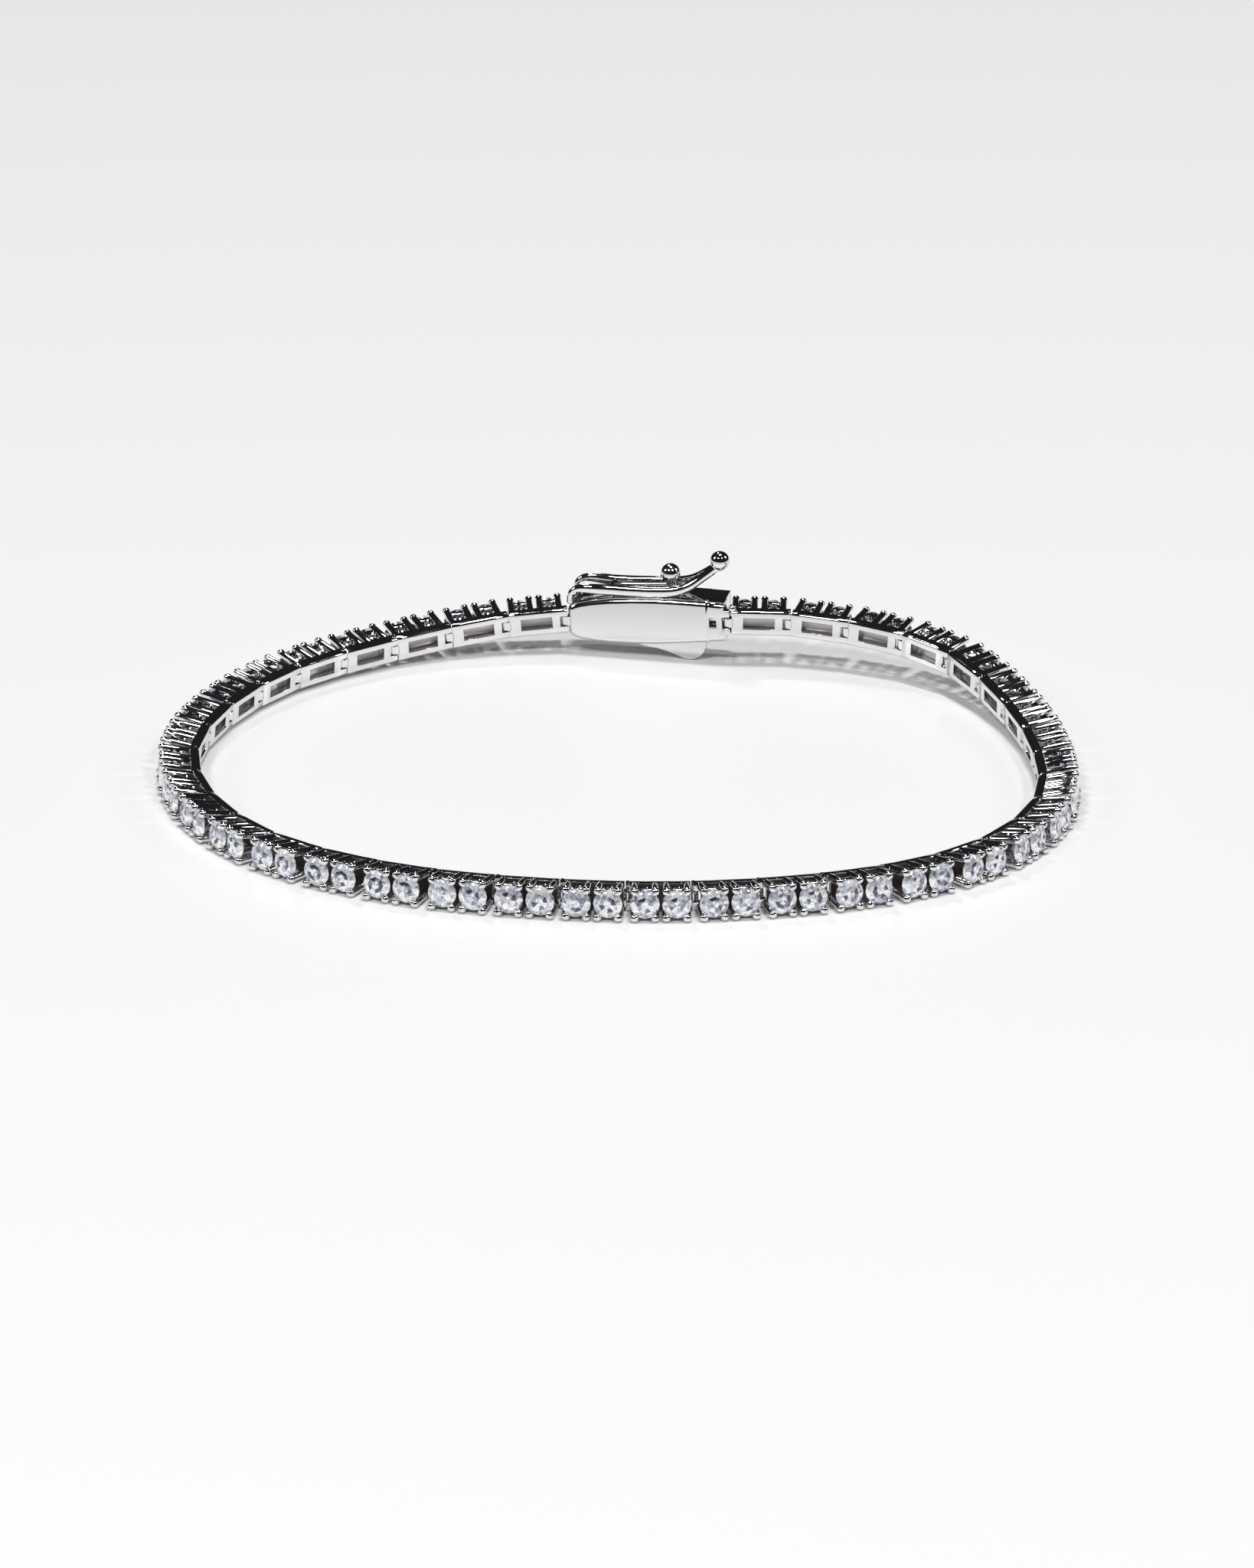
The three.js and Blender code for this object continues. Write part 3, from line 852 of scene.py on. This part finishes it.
@dataclass
class Clasp:
    """The box clasp, in the frame that runs from its left hinge to its right one."""

    back: float = HINGE_BACK
    front: float = 2.87
    start: float = 0.2
    seam: float = 10.74
    end: float = 12.1
    shoulder: float = 1.6
    rim_bevel: float = 0.42
    lip_bevel: float = 0.18
    top: list[tuple[float, float]] = field(
        default_factory=lambda: [
            (0.2, 0.9),
            (0.34, 1.14),
            (0.62, 1.32),
            (1.1, 1.48),
            (2.0, 1.64),
            (3.4, 1.77),
            (5.2, 1.84),
            (7.0, 1.83),
            (8.8, 1.75),
            (10.74, 1.62),
            (12.1, 1.5),
        ]
    )
    stud_along: float = 7.9
    stud_ball: float = 0.75
    stud_height: float = 1.5
    neck: float = 0.44
    neck_sink: float = 0.2
    neck_flare: Profile = field(
        default_factory=lambda: [(0.2, 0.0), (0.16, 0.3), (0.0, 0.55), (-0.06, 0.85)]
    )
    neck_tip: tuple[float, float] = (0.5, 0.3)
    knuckle: float = 0.42
    knuckle_half: float = 0.6
    knuckle_ease: float = 0.06
    arm_end: float = 0.4
    arm_front: float = 0.3
    slot_start: float = 11.93
    hole: tuple[float, float] = (10.95, 11.5)
    hole_half: float = 0.4
    slot_half: float = 0.42
    slot_depth: float = 0.85
    slot_bevel: float = 0.03
    ear_start: float = 11.9
    ear_end: float = 12.53
    ear_back: float = -0.36
    ear_front: float = 0.24
    ear_outer: float = 0.95
    ear_bevel: float = 0.08
    pin_half: float = 0.6
    end_ball: float = 0.3
    end_ball_at: tuple[float, float, float] = (12.74, -0.05, 1.08)
    leaf: float = 0.35
    tab_back: float = 0.11
    tab_bevel: float = 0.07
    tab: list[tuple[float, float]] = field(
        default_factory=lambda: [
            (5.16, -1.4),
            (5.26, -1.9),
            (5.9, -2.09),
            (6.78, -2.25),
            (7.5, -2.46),
            (8.13, -2.7),
            (8.6, -2.93),
            (9.05, -3.08),
            (9.35, -3.1),
            (9.64, -3.05),
            (9.95, -2.9),
            (10.24, -2.66),
            (10.45, -2.34),
            (10.56, -1.95),
            (10.56, -1.4),
        ]
    )

    @property
    def middle(self) -> float:
        """The box's middle across its thickness."""
        return (self.back + self.front) / 2

    @property
    def crest(self) -> float:
        """The height of the box's bowed top."""
        return max(height for _, height in self.top)

    def body(self, first: float, last: float) -> bmesh.types.BMesh:
        """A length of the barrel-shaped box.

        Args:
            first: Where it starts along the clasp.
            last: Where it ends.

        Returns:
            The box, with its rim bevelled towards the wrist.
        """
        upper = [(x, z) for x, z in self.top if first <= x <= last]
        lower = [(x, -z) for x, z in reversed(upper)]
        bm = slab([*upper, *lower], self.back, self.front)

        def rim(a: Vector, b: Vector) -> bool:
            """Whether an edge bounds the back face above or below."""
            end = abs(a.x - b.x) < SAME_POINT and a.x > last - ON_FACE
            return max(a.y, b.y) < self.back + ON_FACE and not end

        def lip(a: Vector, b: Vector) -> bool:
            """Whether an edge bounds the outer face above or below."""
            return min(a.y, b.y) > self.front - ON_FACE

        rounded(bm, self.rim_bevel, 5, rim, CORNER)
        rounded(bm, self.lip_bevel, 3, lip, CORNER)
        return bm

    def box(self) -> Blank:
        """The box with its knuckle, ball stud and hinge tongue.

        Returns:
            The box.
        """
        piece = Blank()
        piece.take(self.body(self.start, self.seam))
        barrel = round_bar(self.knuckle, self.knuckle_half, 20, self.knuckle_ease)
        piece.take(barrel, moved(ROD_ALONG, self.middle, ROD_UP) @ TURN_TO_OUT)
        up = self.crest + self.stud_height
        foot = self.crest - self.neck_sink
        flare = [(self.neck + out, foot + rise) for out, rise in self.neck_flare]
        side, core = self.neck_tip
        neck = lathe([(0.0, foot), *flare, (self.neck, up - side), (0.0, up - core)], steps=24)
        piece.take(neck, moved(self.stud_along, self.middle, 0.0))
        stud = ball(self.stud_ball, steps=32, rings=20)
        piece.take(stud, moved(self.stud_along, self.middle, up))
        piece.take(round_bar(HINGE_RADIUS, HINGE_HALF, 20, HINGE_EASE))
        arm = block(
            Vector((0.0, HINGE_BACK, -HINGE_HALF)),
            Vector((self.arm_end, self.arm_front, HINGE_HALF)),
        )
        piece.take(arm)
        return piece

    def tongue(self) -> Blank:
        """The end block with its slot and ears, the leaf and the press tab.

        Returns:
            The tongue.
        """
        piece = Blank()
        first = self.seam
        upper = [(first, self.shoulder)] + [(x, z) for x, z in self.top if x > first]
        notch = [(self.slot_start, self.slot_half), (self.slot_start, -self.slot_half)]
        low, deep = self.back, self.back + self.slot_depth
        ends = [(self.end, self.slot_half), *notch, (self.end, -self.slot_half)]
        lower = [(x, -z) for x, z in reversed(upper)]
        near = slab([*upper, *ends, *lower], low, deep)
        whole = slab([*upper, *lower], deep, self.front)

        def rim(a: Vector, b: Vector) -> bool:
            """Whether an edge bounds the back face above or below."""
            back = max(a.y, b.y) < low + ON_FACE
            return back and abs(a.x - b.x) > 0.3 and abs(a.z) > 1.0

        def brink(a: Vector, b: Vector) -> bool:
            """Whether an edge is clear of the seam with the box."""
            return max(a.x, b.x) > first + 0.05 and abs(a.z) < 1.0

        def lip(a: Vector, b: Vector) -> bool:
            """Whether an edge bounds the outer face."""
            return min(a.y, b.y) > self.front - ON_FACE

        pierced(near, self.hole, (-self.hole_half, self.hole_half))
        rounded(near, self.rim_bevel, 5, rim, CORNER)
        rounded(near, self.slot_bevel, 2, brink, 80)
        rounded(whole, self.lip_bevel, 3, lip, CORNER)
        piece.take(near)
        piece.take(whole)
        for edge in (-1, 1):
            low_side, high_side = sorted((edge * self.slot_half, edge * self.ear_outer))
            ear = block(
                Vector((self.ear_start, self.ear_back, low_side)),
                Vector((self.ear_end, self.ear_front, high_side)),
            )
            rounded(ear, self.ear_bevel, 3)
            piece.take(ear)
        piece.take(round_bar(PIN_RADIUS, self.pin_half, 12), moved(x=CLASP_LENGTH))
        piece.take(ball(self.end_ball, steps=20, rings=14), moved(*self.end_ball_at))
        tab = slab(self.tab, self.tab_back, self.tab_back + self.leaf)
        rounded(tab, self.tab_bevel, 3, None, CORNER)
        piece.take(tab)
        return piece


@dataclass
class Lever:
    """The safety lever: a loop of wire with its crossbar, hinge rod and ball tip."""

    near: float = -0.005
    width: float = 2.5
    thick: float = 0.28
    rod: float = 0.25
    tip: float = 0.75
    arm: list[tuple[float, float, float, float]] = field(
        default_factory=lambda: [
            (0.0, 0.0, 1.0, 0.85),
            (0.0, 0.3, 1.0, 0.85),
            (0.1, 0.62, 1.0, 0.85),
            (0.4, 0.88, 1.0, 0.95),
            (0.85, 0.99, 1.0, 1.15),
            (1.6, 0.96, 1.0, 1.4),
            (3.0, 0.84, 0.9, 1.55),
            (4.6, 0.77, 0.95, 1.5),
            (6.4, 0.75, 1.0, 1.45),
            (7.9, 0.8, 0.95, 1.4),
            (9.0, 1.1, 0.72, 1.3),
            (10.1, 1.75, 0.4, 1.2),
            (11.2, 2.5, 0.12, 1.3),
        ]
    )
    between: int = 5
    crossbar_along: float = 3.4
    crossbar_rise: float = 0.84
    crossbar_share: float = 0.9
    crossbar_radius: float = 0.24
    tip_along: float = 11.7
    tip_up: float = 4.34

    @property
    def middle(self) -> float:
        """The lever's middle across its width."""
        return self.near + self.width / 2

    def path(self, side: int) -> list[tuple[Vector, float]]:
        """The line of one arm and how tall its wire is there.

        Args:
            side: -1 for the arm towards the wrist, 1 for the other.

        Returns:
            Points with the wire's height as a share of its thickness.
        """
        knots = [
            (
                Vector(
                    (
                        ROD_ALONG + along,
                        self.middle + side * wide * self.width / 2,
                        ROD_UP + up,
                    )
                ),
                tall,
            )
            for along, up, wide, tall in self.arm
        ]
        fine = []
        for k in range(len(knots) - 1):
            around = [knots[max(0, min(len(knots) - 1, k + j))] for j in (-1, 0, 1, 2)]
            for step in range(self.between):
                t = step / self.between
                weights = (
                    (-t + 2 * t**2 - t**3) / 2,
                    (2 - 5 * t**2 + 3 * t**3) / 2,
                    (t + 4 * t**2 - 3 * t**3) / 2,
                    (-(t**2) + t**3) / 2,
                )
                point = sum((p * w for (p, _), w in zip(around, weights)), Vector())
                tall = sum(h * w for (_, h), w in zip(around, weights))
                fine.append((point, tall))
        fine.append(knots[-1])
        return fine

    def wire(self, line: list[tuple[Vector, float]]) -> bmesh.types.BMesh:
        """Sweeps an oval section along a line.

        Args:
            line: The line's points, each with the section's height share.

        Returns:
            The closed wire.
        """
        bm = bmesh.new()
        frames = []
        for k, (point, tall) in enumerate(line):
            before = line[max(0, k - 1)][0]
            after = line[min(len(line) - 1, k + 1)][0]
            ahead = (after - before).normalized()
            side = Vector((0.0, 1.0, 0.0))
            side = (side - ahead * side.dot(ahead)).normalized()
            rise = ahead.cross(side)
            turned = Matrix((side, rise, ahead)).transposed().to_4x4()
            grow = Matrix.Diagonal((self.thick, self.thick * tall, 1.0, 1.0))
            frames.append(moved(*point) @ turned @ grow)
        bmesh.ops.create_circle(bm, segments=14, radius=1.0, cap_ends=True, matrix=frames[0])
        section = bm.edges[:]
        for before, after in zip(frames, frames[1:]):
            grown = bmesh.ops.extrude_edge_only(bm, edges=section)["geom"]
            ends = [item for item in grown if isinstance(item, bmesh.types.BMVert)]
            section = [item for item in grown if isinstance(item, bmesh.types.BMEdge)]
            section = [e for e in section if e.verts[0] in ends and e.verts[1] in ends]
            bmesh.ops.transform(bm, matrix=after @ before.inverted(), verts=ends)
        bmesh.ops.edgeloop_fill(bm, edges=section)
        return bm

    def blank(self) -> Blank:
        """Puts the lever together.

        Returns:
            The lever.
        """
        piece = Blank()
        for side in (-1, 1):
            piece.take(self.wire(self.path(side)))
        half = self.width / 2
        rod = round_bar(self.rod, half, 16)
        piece.take(rod, moved(ROD_ALONG, self.middle, ROD_UP) @ TURN_TO_OUT)
        crossbar = round_bar(self.crossbar_radius, half * self.crossbar_share, 16)
        at = moved(self.crossbar_along, self.middle, ROD_UP + self.crossbar_rise)
        piece.take(crossbar, at @ TURN_TO_OUT)
        for side in (-1, 1):
            cap = ball(self.thick, steps=14, rings=10)
            piece.take(cap, moved(ROD_ALONG, self.middle + side * half, ROD_UP))
        tip = ball(self.tip, steps=32, rings=20)
        piece.take(tip, moved(self.tip_along, self.middle, self.tip_up))
        return piece


@dataclass
class Bracelet:
    """The whole bracelet: the row of links and the clasp that closes it."""

    route: Route = field(default_factory=Route)
    link: Link = field(default_factory=Link)
    clasp: Clasp = field(default_factory=Clasp)
    lever: Lever = field(default_factory=Lever)
    metal: MetalFinish = MetalFinish("rhodium_plate", (0.79, 0.785, 0.79), 0.03, 0.09, 900.0, 6e-7)
    plain: MetalFinish = MetalFinish(
        "buffed_clasp_plate", (0.76, 0.755, 0.755), 0.05, 0.12, 420.0, 1.2e-6
    )
    # A matt sheet whose colour is darkened as painted shade inside the window.
    recess_shade: MetalFinish = MetalFinish("matt_recess_painted_shade", (0.6, 0.56, 0.56), 0.35, 0.5, 700.0, 2e-6)
    # A dark sheet whose colour is painted shade in the gaps between the stones.
    shade_sheet: MetalFinish = MetalFinish("painted_shade_sheet", (0.13, 0.1, 0.095), 0.35, 0.5, 700.0, 2e-6)
    stone: StoneFinish = StoneFinish(
        name="brilliant_stone",
        refraction=2.1,
        mirror=0.3,
        painted_glow=0.12,
        # Colours of painted light: dark and pale painted reflections, white painted glints and an
        # orange painted fire.
        ramp=(
            (0.0, (0.05, 0.05, 0.07)),
            (0.16, (0.2, 0.21, 0.28)),
            (0.28, (0.42, 0.44, 0.53)),
            (0.4, (0.64, 0.66, 0.73)),
            (0.54, (0.86, 0.88, 0.92)),
            (0.68, (1.0, 1.0, 1.0)),
            (0.8, (0.62, 0.68, 0.68)),
            (0.88, (0.95, 0.55, 0.28)),
            (0.92, (0.96, 0.98, 1.0)),
        ),
    )

    def dress(
        self,
        name: str,
        mesh: bpy.types.Mesh,
        finishes: list[bpy.types.Material],
        body: Body,
        node: str,
    ) -> None:
        """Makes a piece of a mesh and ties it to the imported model.

        Args:
            name: The piece's name.
            mesh: Its mesh, in the row frame.
            finishes: Its materials in the order of Slot.
            body: The body that it moves with.
            node: The node that it stands for.
        """
        for finish in finishes:
            mesh.materials.append(finish)
        piece = bpy.data.objects.new(name, mesh)
        bpy.context.scene.collection.objects.link(piece)
        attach(piece, body.value)
        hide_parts(node)
        LOG.info("%s: %d faces", name, len(mesh.polygons))

    def build(self) -> None:
        """Builds and dresses every piece."""
        metal, plain, stone = self.metal.material(), self.plain.material(), self.stone.material()
        recess_shade, shade_sheet = self.recess_shade.material(), self.shade_sheet.material()
        places = self.route.places()
        link = self.link.blank()
        for k, place in enumerate(places[:-1]):
            node = f"link_{k + 1:02d}"
            mesh = link.mesh(f"{node}_set", place)
            finishes = [metal, stone, recess_shade, shade_sheet]
            self.dress(f"{node}_set", mesh, finishes, Body.ROW, node)
        clasp = places[-1]
        parts = (
            ("clasp_box", self.clasp.box(), Body.ROW, plain),
            ("clasp_tongue", self.clasp.tongue(), Body.ROW, plain),
            ("safety_lever", self.lever.blank(), Body.LEVER, metal),
        )
        for node, blank, body, finish in parts:
            mesh = blank.mesh(f"{node}_polished", clasp)
            self.dress(f"{node}_polished", mesh, [finish], body, node)


@dataclass(frozen=True)
class SoftBox:
    """A soft box that faces the bracelet: its place and size in metres, its power in watts."""

    name: str
    at: tuple[float, float, float]
    size: tuple[float, float]
    power: float

    def hang(self) -> None:
        """Hangs the light."""
        lamp = bpy.data.lights.new(self.name, "AREA")
        lamp.shape = "RECTANGLE"
        lamp.size, lamp.size_y = self.size
        lamp.energy = self.power
        box = bpy.data.objects.new(self.name, lamp)
        at = Vector(self.at)
        box.location = at
        box.rotation_euler = (-at).to_track_quat("-Z", "Y").to_euler()
        bpy.context.scene.collection.objects.link(box)


@dataclass
class Studio:
    """The pale table, the soft lights and the camera."""

    aim: Vector = field(default_factory=lambda: Vector((-0.0017732, 0.0011929, 0.0)))
    elevation: float = 0.37288
    distance: float = 0.492786
    lens: float = 157.781
    shift: tuple[float, float] = (0.0224, -0.01037)
    sensor: float = 36.0
    table_half: float = 3.0
    boxes: tuple[SoftBox, ...] = (
        SoftBox("over_top", (0.1, 0.12, 1.4), (0.34, 0.14), 9.6),
        SoftBox("over_back", (-0.3, 0.9, 1.2), (0.25, 0.08), 3.6),
        SoftBox("front_left", (-0.4, -0.7, 0.95), (0.26, 0.1), 4.3),
        SoftBox("front_right", (0.5, -0.65, 0.95), (0.2, 0.1), 3.4),
        SoftBox("left_box", (-0.9, -0.1, 0.6), (0.16, 0.3), 1.6),
        SoftBox("right_box", (0.9, 0.1, 0.6), (0.16, 0.3), 1.6),
    )

    def table(self) -> None:
        """Lays the pale, slightly glossy table."""
        bm = bmesh.new()
        bmesh.ops.create_grid(bm, x_segments=1, y_segments=1, size=self.table_half)
        mesh = bpy.data.meshes.new("table_top")
        bm.to_mesh(mesh)
        bm.free()
        finish = bpy.data.materials.new("pale_table")
        finish.use_nodes = True
        shader = finish.node_tree.nodes["Principled BSDF"]
        shader.inputs["Base Color"].default_value = (0.9, 0.9, 0.9, 1.0)
        shader.inputs["Roughness"].default_value = 0.3
        shader.inputs["IOR"].default_value = 1.35
        mesh.materials.append(finish)
        table = bpy.data.objects.new("table_top", mesh)
        bpy.context.scene.collection.objects.link(table)

    def world(self) -> None:
        """Sets the dim surroundings that the metal mirrors as black."""
        world = bpy.data.worlds.new("dim_studio")
        world.use_nodes = True
        sky = world.node_tree.nodes["Background"]
        sky.inputs["Color"].default_value = (0.015, 0.015, 0.017, 1.0)
        bpy.context.scene.world = world

    def camera(self) -> None:
        """Sets the camera at the photograph's angle and distance."""
        view = bpy.data.cameras.new("photo_view")
        view.sensor_fit = "VERTICAL"
        view.sensor_height = self.sensor
        view.lens = self.lens
        view.shift_x, view.shift_y = self.shift
        view.clip_start, view.clip_end = 0.01, 20.0
        eye = bpy.data.objects.new("photo_view", view)
        way = Vector((0.0, -math.cos(self.elevation), math.sin(self.elevation)))
        eye.location = self.aim + way * self.distance
        eye.rotation_euler = (math.pi / 2 - self.elevation, 0.0, 0.0)
        bpy.context.scene.collection.objects.link(eye)
        bpy.context.scene.camera = eye

    def build(self) -> None:
        """Sets the whole stage."""
        self.table()
        self.world()
        for box in self.boxes:
            box.hang()
        self.camera()
        bpy.context.scene.view_settings.view_transform = "Standard"


def main() -> None:
    """Builds the bracelet and its stage, and notes the sizes."""
    logging.basicConfig(level=logging.INFO, format="%(name)s: %(message)s")
    Bracelet().build()
    Studio().build()


if __name__ == "__main__":
    main()
